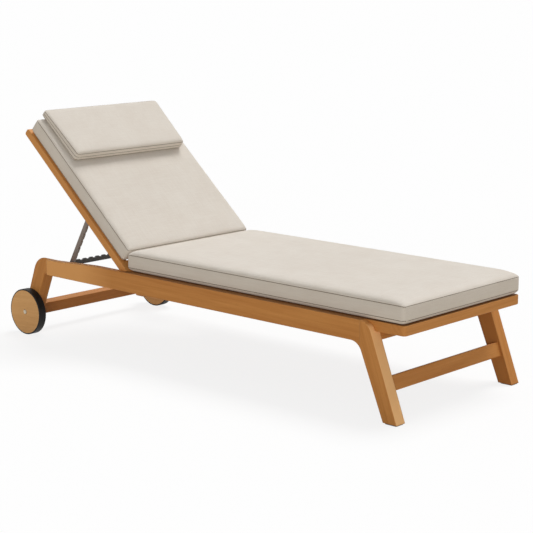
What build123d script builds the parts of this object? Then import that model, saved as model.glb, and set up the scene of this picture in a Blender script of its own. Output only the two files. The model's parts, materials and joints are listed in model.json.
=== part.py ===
"""Wooden sun lounger with a reclining backrest, two wheels and loose cushions.

Millimetres. +X is the foot end, -X the head end with the wheels, +Z is up. The origin lies on the
floor, in the middle of the length and of the width. The near side is -Y and the far side is +Y.
The backrest is drawn raised to its resting angle.
"""

from build123d import *
import os
from math import asin, cos, degrees, radians, sin

os.makedirs("parts", exist_ok=True)

# Lengths along the lounger
seat_length = 1295
head_length = 651
overrun = 2

# Side frames: one rail and two legs each
frame_width = 700
side_thickness = 46
rail_top = 326
rail_depth = 72
lip_width = 25
ledge_depth = 34
edge_radius = 3
head_drop = 11
ramp_hinge_setback = 165
ramp_head_setback = 261
ramp_radius = 400

# Legs, measured at the floor from the foot end and from the back of the wheels
leg_outer_slope_share = 0.38
leg_inner_slope_share = 0.42
leg_width = 56
foot_leg_setback = 7
rear_leg_setback = 13
rear_leg_bottom = 45
foot_joint_setback = 163
rear_joint_setback = 195
foot_corner_radius = 55
head_corner_radius = 68
foot_inner_radius = 48
rear_inner_radius = 12
wheel_recess = 19
inner_step = 22
leg_end_radius = 6
glide_height = 3
glide_inset = 4
glide_radius = 5
dowel_radius = 5
dowel_length = 56
dowel_spacing = 24

# Stretchers, aligned with the slant of the legs
stretcher_width = 30
stretcher_depth = 50
foot_stretcher_top = 148
foot_stretcher_setback = 72
rear_stretcher_top = 107
rear_stretcher_setback = 86

# Apron between the foot legs, under the deck
apron_depth = 30
apron_thickness = 28
apron_inset = 2

# Deck under the seat cushion
deck_clearance = 0.5
deck_stile_width = 45
deck_foot_rail_width = 55
deck_head_rail_width = 55
deck_corner_radius = 14
slat_thickness = 10
slat_bearing = 18
seat_slat_width = 62
seat_slat_count = 11

# Backrest, raised by its resting angle
rest_angle = 41.3
lift_angle = 3
back_length = 755
back_thickness = 28
back_stile_width = 40
back_end_radius = 8
back_top_rail_width = 50
back_bottom_rail_start = 22
back_bottom_rail_width = 40
back_slat_width = 60
back_slat_thickness = 8
back_slat_count = 7
hinge_gap = 1.5

# Hinge of the backrest
pin_radius = 5
pin_in_lip = 20
bush_length = 35
bush_wall = 3
running_clearance = 0.05

# Prop: two flat arms, a grip bar between them and round end pins over the racks
prop_pivot_distance = 339
prop_pivot_drop = 5
prop_length = 263.4
prop_foot_height = 297
prop_flat_angle = 2.8
arm_width = 17
arm_thickness = 12
arm_inset = 57
arm_side_clearance = 0.4
arm_notch_pitch = 33
arm_notch_radius = 9
arm_notch_depth = 2
boss_radius = 9.5
prop_pin_radius = 4
prop_pin_head_radius = 7
prop_pin_head_height = 3
prop_pin_in_stile = 15
bar_height = 20
bar_thickness = 8
bar_notch_pitch = 33
bar_notch_radius = 12
bar_notch_depth = 5
end_pin_radius = 5
end_pin_gap = 1

# Racks behind the rails
rack_thickness = 12
rack_depth = 24
rack_clearance = 0.6
rack_step_angle = 5
rack_notch_count = 4
rack_notch_play = 0.5
rack_low_angle = 24
rack_block_depth = 28
rack_block_drop = 2

# Wheels and their axles
wheel_radius = 91
wheel_thickness = 33
wheel_gap = 1.5
tyre_depth = 5
tyre_edge_bevel = 1.5
axle_radius = 5
axle_head_radius = 9
axle_head_height = 5
cap_radius = 8.5
cap_height = 4
cap_play = 0.3
cap_seat_depth = 3.5
cap_seat_radius = 10
wheel_bush_radius = 9

# Cushions and pillow
soft_clearance = 0.3
cushion_sag_inset = 24
cushion_draw = 3
cushion_corner = 12
seat_cushion_overhang = 2.5
seat_cushion_setback = 1
seat_cushion_sag = 2.5
seat_cushion_band = 61.5
seat_cushion_crown = 20
back_cushion_inset = 0.5
back_cushion_start = 54
back_cushion_setback = 10
back_cushion_sag = 5.5
back_cushion_band = 57.5
back_cushion_crown = 9
pillow_length = 249
pillow_setback = 1
pillow_side_inset = 27
pillow_corner = 14
pillow_sag = 2.5
pillow_band = 33
pillow_crown = 11
crown_rise_shares = (0, 0.5, 0.85, 1)
crown_inset_shares = (0, 0.02, 0.09, 0.28)

# Places worked out from the sizes
foot_x = (seat_length + head_length) / 2
head_x = foot_x - seat_length - head_length
hinge_x = foot_x - seat_length
outer_y = frame_width / 2
inner_y = outer_y - side_thickness
lip_y = outer_y - lip_width
leg_outer_y = outer_y - wheel_recess
leg_inner_y = inner_y - inner_step
rail_bottom = rail_top - rail_depth
ledge_z = rail_top - ledge_depth
head_z = rail_top - head_drop
foot_joint_x = foot_x - foot_joint_setback
rear_joint_x = head_x + rear_joint_setback
deck_y = lip_y - deck_clearance
deck_inner_y = deck_y - deck_stile_width
deck_head_x = hinge_x + back_thickness / 2 + hinge_gap
hinge_z = ledge_z + deck_clearance + back_thickness / 2
back_inner_y = deck_y - back_stile_width
wheel_x = head_x + wheel_radius
wheel_inner_y = leg_outer_y + wheel_gap
wheel_outer_y = wheel_inner_y + wheel_thickness
arm_outer_y = deck_y - arm_inset
arm_inner_y = arm_outer_y - arm_thickness
end_pin_y = leg_inner_y - end_pin_gap
rack_inner_y = leg_inner_y - rack_thickness
sides = {"near": -1, "far": 1}


def foot_leg_outer(z):
    """X of the foot leg's outer edge at height z."""
    return foot_x - foot_leg_setback - leg_outer_slope_share * z


def foot_leg_inner(z):
    """X of the foot leg's inner edge at height z."""
    return foot_x - foot_leg_setback - leg_width - leg_inner_slope_share * z


def rear_leg_outer(z):
    """X of the rear leg's outer edge at height z."""
    return head_x + rear_leg_setback + leg_outer_slope_share * z


def rear_leg_inner(z):
    """X of the rear leg's inner edge at height z."""
    return head_x + rear_leg_setback + leg_width + leg_inner_slope_share * z


def back_point(distance, rise, angle=rest_angle):
    """X and Z of a point up the backrest and above its middle plane."""
    turn = radians(angle)
    x = hinge_x - cos(turn) * distance + sin(turn) * rise
    z = hinge_z + sin(turn) * distance + cos(turn) * rise
    return x, z


# Geometry of the prop, at rest and along its travel
prop_x, prop_z = back_point(prop_pivot_distance, -prop_pivot_drop)
prop_angle = degrees(asin((prop_z - prop_foot_height) / prop_length))
prop_ratio = (prop_angle + rest_angle - prop_flat_angle) / rest_angle
rest_turn = radians(rest_angle)
prop_turn = radians(prop_angle)


def prop_foot(angle):
    """X and Z of the grip bar's middle when the backrest stands at the given angle."""
    pivot_x, pivot_z = back_point(prop_pivot_distance, -prop_pivot_drop, angle)
    slant = radians(prop_angle + (prop_ratio - 1) * (angle - rest_angle))
    return pivot_x - prop_length * cos(slant), pivot_z - prop_length * sin(slant)


# Planes that the pieces are drawn on
back_profile = Plane(origin=(hinge_x, 0, hinge_z), x_dir=(-cos(rest_turn), 0, sin(rest_turn)), z_dir=(0, 1, 0))
back_face = Plane(
    origin=(hinge_x, 0, hinge_z),
    x_dir=(-cos(rest_turn), 0, sin(rest_turn)),
    z_dir=(sin(rest_turn), 0, cos(rest_turn)),
)
prop_profile = Plane(origin=(prop_x, 0, prop_z), x_dir=(-cos(prop_turn), 0, -sin(prop_turn)), z_dir=(0, 1, 0))
side_profile = Plane(origin=(0, 0, 0), x_dir=(-1, 0, 0), z_dir=(0, 1, 0))


def save(piece, name):
    """Label a finished piece and write its file."""
    piece.part.label = name
    export_step(piece.part, f"parts/{name}.step")


def across(side, inner, outer):
    """Lowest Y and width of a piece between two distances from the middle, on one side."""
    return min(side * inner, side * outer), outer - inner


def round_corner(outline, corner, radius):
    """Round the corner of an outline that lies nearest to the given point."""
    fillet(outline.vertices().sort_by_distance(corner)[0], radius=radius)


def side_frame_outline():
    """Sketch of a whole side frame, seen from the side: rail and both legs in one sweep."""
    ramp_high_x = hinge_x - ramp_hinge_setback
    ramp_low_x = head_x + ramp_head_setback
    outline_corners = [
        (-foot_leg_outer(glide_height), glide_height),
        (-foot_leg_outer(rail_top), rail_top),
        (-ramp_high_x, rail_top),
        (-ramp_low_x, head_z),
        (-rear_leg_outer(head_z), head_z),
        (-rear_leg_outer(rear_leg_bottom), rear_leg_bottom),
        (-rear_leg_inner(rear_leg_bottom), rear_leg_bottom),
        (-rear_leg_inner(rail_bottom), rail_bottom),
        (-foot_leg_inner(rail_bottom), rail_bottom),
        (-foot_leg_inner(glide_height), glide_height),
    ]
    radii = [0, foot_corner_radius, ramp_radius, ramp_radius, head_corner_radius]
    radii += [leg_end_radius, leg_end_radius, rear_inner_radius, foot_inner_radius, 0]
    with BuildSketch(side_profile) as outline:
        with BuildLine():
            Polyline(*outline_corners, close=True)
        make_face()
        for corner, radius in zip(outline_corners, radii):
            if radius > 0:
                round_corner(outline, corner, radius)
    return outline.sketch


side_outline = side_frame_outline()


def extrude_side(piece, side, inner, outer):
    """Extrude the side frame's outline between two distances from the middle, its outer edges rounded."""
    low_y, width = across(side, inner, outer)
    extrude(side_outline.moved(Location((0, low_y, 0))), amount=width, dir=(0, 1, 0))
    outer_face = piece.faces().filter_by(Axis.Y).sort_by(Axis.Y)[-1 if side > 0 else 0]
    fillet(outer_face.edges(), radius=edge_radius)


def keep_between(low_x, high_x):
    """Keep only what lies between two upright planes across the lounger."""
    with BuildSketch(Plane.XY.offset(-overrun)) as kept_plan:
        with Locations(((low_x + high_x) / 2, 0)):
            Rectangle(high_x - low_x, frame_width + overrun)
    extrude(kept_plan.sketch, amount=rail_top + 2 * overrun, mode=Mode.INTERSECT)


def cut_rabbet(side, inner):
    """Cut the ledge for the deck and the backrest along the inner top edge."""
    low_y, width = across(side, inner - overrun, lip_y)
    with BuildSketch(Plane.XY.offset(ledge_z)) as rabbet_plan:
        with Locations((0, low_y + width / 2)):
            Rectangle(seat_length + head_length, width)
    extrude(rabbet_plan.sketch, amount=ledge_depth + overrun, mode=Mode.SUBTRACT)


def drill_across(x, z, radius, side, inner, outer):
    """Cut a round hole along Y between two distances from the middle."""
    low_y, depth = across(side, inner, outer)
    with BuildSketch(side_profile.offset(low_y)) as hole:
        with Locations((-x, z)):
            Circle(radius)
    extrude(hole.sketch, amount=depth, mode=Mode.SUBTRACT)


def dowel_heights(low_z):
    """Heights of the two dowels in a joint between rail and leg."""
    return low_z, low_z + dowel_spacing


def dowel_rods(joint_x, y, low_z, mode):
    """Round rods along X, half in the rail and half in the leg."""
    for z in dowel_heights(low_z):
        with BuildSketch(Plane.YZ.offset(joint_x - dowel_length / 2)) as rod_end:
            with Locations((y, z)):
                Circle(dowel_radius)
        extrude(rod_end.sketch, amount=dowel_length, mode=mode)


dowel_low_z = ledge_z - dowel_spacing - 2 * dowel_radius
foot_dowel_y = (inner_y + outer_y) / 2
rear_dowel_y = (inner_y + leg_outer_y) / 2


def cut_cove(side):
    """Sweep the rail's outer face in to the recessed leg with a hollow quarter round."""
    with BuildSketch(Plane.XY.offset(rail_bottom - side_thickness)) as cove_plan:
        with Locations((rear_joint_x, side * outer_y)):
            Circle(wheel_recess)
    extrude(cove_plan.sketch, amount=rail_depth + side_thickness + overrun, mode=Mode.SUBTRACT)


# Rails and legs of the side frames
for side_name, side in sides.items():
    with BuildPart() as side_rail:
        extrude_side(side_rail, side, inner_y, outer_y)
        keep_between(rear_joint_x, foot_joint_x)
        cut_rabbet(side, inner_y)
        cut_cove(side)
        drill_across(hinge_x, hinge_z, pin_radius, side, lip_y - overrun, lip_y + pin_in_lip)
        dowel_rods(foot_joint_x, side * foot_dowel_y, dowel_low_z, Mode.SUBTRACT)
        dowel_rods(rear_joint_x, side * rear_dowel_y, dowel_low_z, Mode.SUBTRACT)
    save(side_rail, f"side_rail_{side_name}")

    with BuildPart() as foot_leg:
        extrude_side(foot_leg, side, inner_y, outer_y)
        keep_between(foot_joint_x, foot_x)
        cut_rabbet(side, inner_y)
        dowel_rods(foot_joint_x, side * foot_dowel_y, dowel_low_z, Mode.SUBTRACT)
    save(foot_leg, f"foot_leg_{side_name}")

    with BuildPart() as rear_leg:
        extrude_side(rear_leg, side, leg_inner_y, leg_outer_y)
        keep_between(head_x, rear_joint_x)
        cut_rabbet(side, leg_inner_y)
        drill_across(wheel_x, wheel_radius, axle_radius, side, leg_inner_y - overrun, leg_outer_y + overrun)
        dowel_rods(rear_joint_x, side * rear_dowel_y, dowel_low_z, Mode.SUBTRACT)
    save(rear_leg, f"rear_leg_{side_name}")

# Dowels that hold the rails and the legs together
with BuildPart() as leg_dowels:
    for side in sides.values():
        dowel_rods(foot_joint_x, side * foot_dowel_y, dowel_low_z, Mode.ADD)
        dowel_rods(rear_joint_x, side * rear_dowel_y, dowel_low_z, Mode.ADD)
save(leg_dowels, "leg_dowels")

# Glides under the foot legs
glide_middle_x = (foot_leg_outer(0) + foot_leg_inner(0)) / 2
with BuildPart() as foot_glides:
    with BuildSketch(Plane.XY):
        with Locations(*((glide_middle_x, side * (inner_y + outer_y) / 2) for side in sides.values())):
            RectangleRounded(leg_width - 2 * glide_inset, side_thickness - 2 * glide_inset, glide_radius)
    extrude(amount=glide_height)
save(foot_glides, "foot_glides")


def stretcher_corners(top_x, top_z, lean):
    """Corners of a section whose sides follow a leg's slant, from its upper front corner."""
    norm = (1 + leg_outer_slope_share**2) ** 0.5
    down_x = lean * leg_outer_slope_share / norm
    down_z = -1 / norm
    back_x = -1 / norm
    back_z = -lean * leg_outer_slope_share / norm
    front_bottom = (top_x + stretcher_depth * down_x, top_z + stretcher_depth * down_z)
    back_top = (top_x + stretcher_width * back_x, top_z + stretcher_width * back_z)
    back_bottom = (front_bottom[0] + stretcher_width * back_x, front_bottom[1] + stretcher_width * back_z)
    return [(-x, z) for x, z in ((top_x, top_z), front_bottom, back_bottom, back_top)]


# Stretchers between the legs
foot_stretcher_x = foot_x - foot_stretcher_setback
rear_stretcher_x = head_x + rear_stretcher_setback
with BuildPart() as foot_stretcher:
    with BuildSketch(side_profile.offset(-inner_y)) as foot_stretcher_end:
        with BuildLine():
            Polyline(*stretcher_corners(foot_stretcher_x, foot_stretcher_top, 1), close=True)
        make_face()
        fillet(foot_stretcher_end.vertices(), radius=edge_radius)
    extrude(amount=2 * inner_y)
save(foot_stretcher, "foot_stretcher")

with BuildPart() as rear_stretcher:
    with BuildSketch(side_profile.offset(-leg_inner_y)) as rear_stretcher_end:
        with BuildLine():
            Polyline(*stretcher_corners(rear_stretcher_x, rear_stretcher_top, -1), close=True)
        make_face()
        fillet(rear_stretcher_end.vertices(), radius=edge_radius)
    extrude(amount=2 * leg_inner_y)
save(rear_stretcher, "rear_stretcher")

# Apron under the overhanging foot end of the deck, flush with the slant of the legs
apron_bottom_z = ledge_z - apron_depth
apron_top_x = foot_leg_outer(ledge_z) - apron_inset
apron_bottom_x = foot_leg_outer(apron_bottom_z) - apron_inset
apron_corners = [
    (-apron_top_x, ledge_z),
    (-apron_bottom_x, apron_bottom_z),
    (-apron_bottom_x + apron_thickness, apron_bottom_z),
    (-apron_top_x + apron_thickness, ledge_z),
]
with BuildPart() as foot_apron:
    with BuildSketch(side_profile.offset(-inner_y)):
        with BuildLine():
            Polyline(*apron_corners, close=True)
        make_face()
    extrude(amount=2 * inner_y)
save(foot_apron, "foot_apron")

# Deck: two stiles, two rails and the slats let into them
deck_foot_rail_x = foot_x - deck_foot_rail_width
deck_slat_start_x = deck_head_x + deck_head_rail_width
for side_name, side in sides.items():
    deck_low_y, deck_width = across(side, deck_inner_y, deck_y)
    bearing_low_y, bearing_width = across(side, deck_inner_y - overrun, deck_inner_y + slat_bearing)
    with BuildPart() as deck_stile:
        with BuildSketch(Plane.XY.offset(ledge_z)):
            with Locations(((deck_foot_rail_x + deck_head_x) / 2, deck_low_y + deck_width / 2)):
                Rectangle(deck_foot_rail_x - deck_head_x, deck_width)
        extrude(amount=ledge_depth)
        with BuildSketch(Plane.XY.offset(rail_top - slat_thickness)):
            with Locations(((deck_foot_rail_x + deck_slat_start_x) / 2, bearing_low_y + bearing_width / 2)):
                Rectangle(deck_foot_rail_x - deck_slat_start_x, bearing_width)
        extrude(amount=slat_thickness + overrun, mode=Mode.SUBTRACT)
    save(deck_stile, f"deck_stile_{side_name}")

with BuildPart() as deck_foot_rail:
    with BuildSketch(Plane.XY.offset(ledge_z)) as foot_rail_plan:
        with Locations(((foot_x + deck_foot_rail_x) / 2, 0)):
            Rectangle(deck_foot_rail_width, 2 * deck_y)
        fillet(foot_rail_plan.vertices().group_by(Axis.X)[-1], radius=deck_corner_radius)
    extrude(amount=ledge_depth)
    foot_end_edges = deck_foot_rail.faces().group_by(Axis.X)[-1].edges().filter_by(Axis.Y)
    fillet(foot_end_edges, radius=edge_radius)
save(deck_foot_rail, "deck_foot_rail")

with BuildPart() as deck_head_rail:
    with BuildSketch(Plane.XY.offset(ledge_z)):
        with Locations(((deck_head_x + deck_slat_start_x) / 2, 0)):
            Rectangle(deck_head_rail_width, 2 * deck_inner_y)
    extrude(amount=ledge_depth)
save(deck_head_rail, "deck_head_rail")

seat_slat_room = deck_foot_rail_x - deck_slat_start_x
seat_slat_gap = (seat_slat_room - seat_slat_count * seat_slat_width) / (seat_slat_count + 1)
for index in range(seat_slat_count):
    slat_x = deck_foot_rail_x - seat_slat_gap - seat_slat_width / 2 - index * (seat_slat_width + seat_slat_gap)
    with BuildPart() as seat_slat:
        with BuildSketch(Plane.XY.offset(rail_top - slat_thickness)):
            with Locations((slat_x, 0)):
                Rectangle(seat_slat_width, 2 * (deck_inner_y + slat_bearing))
        extrude(amount=slat_thickness)
    save(seat_slat, f"seat_slat_{index + 1}")

# Backrest stiles, with a round lower end about the hinge
half_back = back_thickness / 2
back_bottom_rail_end = back_bottom_rail_start + back_bottom_rail_width
back_top_rail_start = back_length - back_top_rail_width
for side_name, side in sides.items():
    stile_low_y, stile_width = across(side, back_inner_y, deck_y)
    seat_low_y, seat_width = across(side, back_inner_y - overrun, back_inner_y + slat_bearing)
    with BuildPart() as back_stile:
        with BuildSketch(back_profile.offset(stile_low_y)) as stile_side:
            with Locations((back_length / 2, 0)):
                Rectangle(back_length, back_thickness)
            fillet(stile_side.vertices().group_by(Axis.X)[-1], radius=back_end_radius)
            Circle(half_back)
        extrude(amount=stile_width)
        with BuildSketch(back_profile.offset(seat_low_y)):
            with Locations(((back_bottom_rail_end + back_top_rail_start) / 2, half_back)):
                Rectangle(back_top_rail_start - back_bottom_rail_end, 2 * back_slat_thickness)
        extrude(amount=seat_width, mode=Mode.SUBTRACT)
        bush_low_y, bush_depth = across(side, deck_y - bush_length, deck_y + overrun)
        with BuildSketch(back_profile.offset(bush_low_y)):
            Circle(pin_radius + bush_wall)
        extrude(amount=bush_depth, mode=Mode.SUBTRACT)
        prop_pin_low_y, prop_pin_depth = across(side, back_inner_y - overrun, back_inner_y + prop_pin_in_stile)
        with BuildSketch(back_profile.offset(prop_pin_low_y)):
            with Locations((prop_pivot_distance, -prop_pivot_drop)):
                Circle(prop_pin_radius)
        extrude(amount=prop_pin_depth, mode=Mode.SUBTRACT)
    save(back_stile, f"back_stile_{side_name}")

with BuildPart() as back_top_rail:
    with BuildSketch(back_profile.offset(-back_inner_y)) as top_rail_side:
        with Locations(((back_top_rail_start + back_length) / 2, 0)):
            Rectangle(back_top_rail_width, back_thickness)
        fillet(top_rail_side.vertices().group_by(Axis.X)[-1], radius=back_end_radius)
    extrude(amount=2 * back_inner_y)
save(back_top_rail, "back_top_rail")

with BuildPart() as back_bottom_rail:
    with BuildSketch(back_profile.offset(-back_inner_y)):
        with Locations(((back_bottom_rail_start + back_bottom_rail_end) / 2, 0)):
            Rectangle(back_bottom_rail_width, back_thickness)
    extrude(amount=2 * back_inner_y)
save(back_bottom_rail, "back_bottom_rail")

back_slat_room = back_top_rail_start - back_bottom_rail_end
back_slat_gap = (back_slat_room - back_slat_count * back_slat_width) / (back_slat_count + 1)
for index in range(back_slat_count):
    slat_middle = back_bottom_rail_end + back_slat_gap + back_slat_width / 2
    slat_middle += index * (back_slat_width + back_slat_gap)
    with BuildPart() as back_slat:
        with BuildSketch(back_face.offset(half_back - back_slat_thickness)):
            with Locations((slat_middle, 0)):
                Rectangle(back_slat_width, 2 * (back_inner_y + slat_bearing))
        extrude(amount=back_slat_thickness)
    save(back_slat, f"back_slat_{index + 1}")

# Hinge: pins fixed in the rails, bushes fixed in the backrest
with BuildPart() as hinge_pins:
    for side in sides.values():
        pin_low_y, pin_length = across(side, deck_y - bush_length, lip_y + pin_in_lip)
        with BuildSketch(back_profile.offset(pin_low_y)):
            Circle(pin_radius)
        extrude(amount=pin_length)
save(hinge_pins, "hinge_pins")

with BuildPart() as hinge_bushes:
    for side in sides.values():
        bush_low_y, bush_depth = across(side, deck_y - bush_length, deck_y)
        with BuildSketch(back_profile.offset(bush_low_y)):
            Circle(pin_radius + bush_wall)
            Circle(pin_radius + running_clearance, mode=Mode.SUBTRACT)
        extrude(amount=bush_depth)
save(hinge_bushes, "hinge_bushes")

# Prop: bosses and pins on the backrest, then the arms, the grip bar and its end pins
with BuildPart() as prop_bosses:
    for side in sides.values():
        boss_low_y, boss_width = across(side, arm_outer_y + arm_side_clearance, back_inner_y)
        with BuildSketch(prop_profile.offset(boss_low_y)):
            Circle(boss_radius)
            Circle(prop_pin_radius, mode=Mode.SUBTRACT)
        extrude(amount=boss_width)
save(prop_bosses, "prop_bosses")

with BuildPart() as prop_pins:
    for side in sides.values():
        head_outer_y = arm_inner_y - arm_side_clearance
        head_low_y, head_height = across(side, head_outer_y - prop_pin_head_height, head_outer_y)
        shank_low_y, shank_length = across(side, head_outer_y, back_inner_y + prop_pin_in_stile)
        with BuildSketch(prop_profile.offset(head_low_y)):
            Circle(prop_pin_head_radius)
        extrude(amount=head_height)
        with BuildSketch(prop_profile.offset(shank_low_y)):
            Circle(prop_pin_radius)
        extrude(amount=shank_length)
save(prop_pins, "prop_pins")

arm_notch_count = int((prop_length - 2 * arm_width) / arm_notch_pitch)
for side_name, side in sides.items():
    arm_low_y, arm_depth = across(side, arm_inner_y, arm_outer_y)
    with BuildPart() as prop_arm:
        with BuildSketch(prop_profile.offset(arm_low_y)):
            SlotCenterPoint((prop_length / 2, 0), (prop_length, 0), arm_width)
            with Locations((prop_length / 2, -arm_width / 2 - arm_notch_radius + arm_notch_depth)):
                with GridLocations(arm_notch_pitch, 0, arm_notch_count, 1):
                    Circle(arm_notch_radius, mode=Mode.SUBTRACT)
            Circle(prop_pin_radius + running_clearance, mode=Mode.SUBTRACT)
            with Locations((prop_length, 0)):
                Circle(end_pin_radius, mode=Mode.SUBTRACT)
        extrude(amount=arm_depth)
    save(prop_arm, f"prop_arm_{side_name}")

foot_rest_x, foot_rest_z = prop_foot(rest_angle)
bar_notch_count = int((2 * arm_inner_y - bar_notch_pitch) / bar_notch_pitch)
bar_face = Plane(origin=(foot_rest_x - bar_thickness / 2, 0, foot_rest_z), x_dir=(0, 1, 0), z_dir=(1, 0, 0))
with BuildPart() as grip_bar:
    with BuildSketch(bar_face):
        Rectangle(2 * arm_inner_y, bar_height)
        with Locations((0, bar_height / 2 + bar_notch_radius - bar_notch_depth)):
            with GridLocations(bar_notch_pitch, 0, bar_notch_count, 1):
                Circle(bar_notch_radius, mode=Mode.SUBTRACT)
    extrude(amount=bar_thickness)
save(grip_bar, "grip_bar")

with BuildPart() as prop_end_pins:
    for side in sides.values():
        end_pin_low_y, end_pin_length = across(side, arm_inner_y, end_pin_y)
        with BuildSketch(side_profile.offset(end_pin_low_y)):
            with Locations((-foot_rest_x, foot_rest_z)):
                Circle(end_pin_radius)
        extrude(amount=end_pin_length)
save(prop_end_pins, "prop_end_pins")

# Racks, whose sloping tops lie just under the travel of the end pins
rack_high_x = prop_foot(rest_angle + lift_angle)[0] + end_pin_radius
rack_low_x = prop_foot(rack_low_angle)[0] - end_pin_radius
lifted_x, lifted_z = prop_foot(rest_angle + lift_angle)
lowered_x, lowered_z = prop_foot(rest_angle - lift_angle)
rack_slope = (lifted_z - lowered_z) / (lifted_x - lowered_x)


def rack_top(x):
    """Height of the rack's sloping top at a place along the lounger."""
    return foot_rest_z - end_pin_radius - rack_clearance + rack_slope * (x - foot_rest_x)


rack_corners = [
    (-rack_high_x, rack_top(rack_high_x)),
    (-rack_low_x, rack_top(rack_low_x)),
    (-rack_low_x, rack_top(rack_low_x) - rack_depth),
    (-rack_high_x, rack_top(rack_high_x) - rack_depth),
]
rack_notches = []
for index in range(rack_notch_count):
    notch_x, _ = prop_foot(rest_angle - index * rack_step_angle)
    rack_notches.append((-notch_x, rack_top(notch_x)))
for side_name, side in sides.items():
    rack_low_y, rack_width = across(side, rack_inner_y, leg_inner_y)
    with BuildPart() as rack:
        with BuildSketch(side_profile.offset(rack_low_y)):
            with BuildLine():
                Polyline(*rack_corners, close=True)
            make_face()
            with Locations(*rack_notches):
                Circle(end_pin_radius + rack_notch_play, mode=Mode.SUBTRACT)
        extrude(amount=rack_width)
    save(rack, f"rack_{side_name}")

    block_low_y, block_width = across(side, leg_inner_y, inner_y)
    block_top_z = ledge_z - rack_block_drop
    with BuildPart() as rack_block:
        with BuildSketch(Plane.XY.offset(block_top_z - rack_block_depth)):
            with Locations(((rear_joint_x + rack_high_x) / 2, block_low_y + block_width / 2)):
                Rectangle(rack_high_x - rear_joint_x, block_width)
        extrude(amount=rack_block_depth)
    save(rack_block, f"rack_block_{side_name}")

# Wheels: wooden disc, rubber tyre and bush, on an axle through the rear leg
for side_name, side in sides.items():
    wheel_low_y, _ = across(side, wheel_inner_y, wheel_outer_y)
    cap_floor_y = wheel_outer_y - cap_seat_depth
    with BuildPart() as wheel_disc:
        with BuildSketch(side_profile.offset(wheel_low_y)):
            with Locations((-wheel_x, wheel_radius)):
                Circle(wheel_radius - tyre_depth)
                Circle(wheel_bush_radius, mode=Mode.SUBTRACT)
        extrude(amount=wheel_thickness)
        drill_across(wheel_x, wheel_radius, cap_seat_radius, side, cap_floor_y, wheel_outer_y + overrun)
    save(wheel_disc, f"wheel_disc_{side_name}")

    with BuildPart() as tyre:
        with BuildSketch(side_profile.offset(wheel_low_y)):
            with Locations((-wheel_x, wheel_radius)):
                Circle(wheel_radius)
                Circle(wheel_radius - tyre_depth, mode=Mode.SUBTRACT)
        extrude(amount=wheel_thickness)
        tread_edges = tyre.edges().filter_by(GeomType.CIRCLE).group_by(SortBy.RADIUS)[-1]
        chamfer(tread_edges, length=tyre_edge_bevel)
    save(tyre, f"tyre_{side_name}")

    bush_low_y, bush_depth = across(side, wheel_inner_y, cap_floor_y)
    with BuildPart() as wheel_bush:
        with BuildSketch(side_profile.offset(bush_low_y)):
            with Locations((-wheel_x, wheel_radius)):
                Circle(wheel_bush_radius)
                Circle(axle_radius + running_clearance, mode=Mode.SUBTRACT)
        extrude(amount=bush_depth)
    save(wheel_bush, f"wheel_bush_{side_name}")

    axle_parts = [
        (axle_head_radius, leg_inner_y - axle_head_height, leg_inner_y),
        (axle_radius, leg_inner_y, cap_floor_y + cap_play),
        (cap_radius, cap_floor_y + cap_play, cap_floor_y + cap_play + cap_height),
    ]
    with BuildPart() as axle:
        for radius, inner, outer in axle_parts:
            axle_low_y, axle_depth = across(side, inner, outer)
            with BuildSketch(side_profile.offset(axle_low_y)):
                with Locations((-wheel_x, wheel_radius)):
                    Circle(radius)
            extrude(amount=axle_depth)
    save(axle, f"axle_{side_name}")


def cushion_layers(base, middle, length, width, corner, layers):
    """Loft through rounded rectangles, one for each pair of height and inset."""
    outlines = []
    for height, inset in layers:
        with BuildSketch(base.offset(height)) as outline:
            with Locations((middle, 0)):
                RectangleRounded(length - 2 * inset, width - 2 * inset, corner)
        outlines.append(outline.sketch)
    loft(outlines, ruled=True)


def padded_block(base, start, end, width, corner, seat, sag, band, crown):
    """Cushion with a sagging underside, drawn-in sides and a crowned top, in one solid."""
    length = end - start
    middle = (start + end) / 2
    lower_seam = seat + sag
    upper_seam = lower_seam + band
    cushion_layers(base, middle, length, width, corner, [(seat, cushion_sag_inset), (lower_seam, 0)])
    side_layers = [(lower_seam, 0), ((lower_seam + upper_seam) / 2, cushion_draw), (upper_seam, 0)]
    cushion_layers(base, middle, length, width, corner, side_layers)
    top_layers = []
    for rise_share, inset_share in zip(crown_rise_shares, crown_inset_shares):
        top_layers.append((upper_seam + crown * rise_share, min(length, width) / 2 * inset_share))
    cushion_layers(base, middle, length, width, corner, top_layers)


# Loose cushions and the head pillow
with BuildPart() as seat_cushion:
    padded_block(
        base=Plane.XY,
        start=deck_head_x - seat_cushion_setback,
        end=foot_x - seat_cushion_setback,
        width=2 * (deck_y + seat_cushion_overhang),
        corner=cushion_corner,
        seat=rail_top + soft_clearance,
        sag=seat_cushion_sag,
        band=seat_cushion_band,
        crown=seat_cushion_crown,
    )
save(seat_cushion, "seat_cushion")

back_cushion_seat = half_back + soft_clearance
back_cushion_width = 2 * (deck_y - back_cushion_inset)
with BuildPart() as back_cushion:
    padded_block(
        base=back_face,
        start=back_cushion_start,
        end=back_length - back_cushion_setback,
        width=back_cushion_width,
        corner=cushion_corner,
        seat=back_cushion_seat,
        sag=back_cushion_sag,
        band=back_cushion_band,
        crown=back_cushion_crown,
    )
save(back_cushion, "back_cushion")

pillow_seat = back_cushion_seat + back_cushion_sag + back_cushion_band + back_cushion_crown + soft_clearance
with BuildPart() as head_pillow:
    padded_block(
        base=back_face,
        start=back_length - pillow_setback - pillow_length,
        end=back_length - pillow_setback,
        width=back_cushion_width - 2 * pillow_side_inset,
        corner=pillow_corner,
        seat=pillow_seat,
        sag=pillow_sag,
        band=pillow_band,
        crown=pillow_crown,
    )
save(head_pillow, "head_pillow")
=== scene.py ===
"""Wooden sun lounger: materials, padded cushions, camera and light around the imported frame.

Metres. +X is the foot end, -X the head end with the wheels, -Y the near side and +Z is up.
"""

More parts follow.
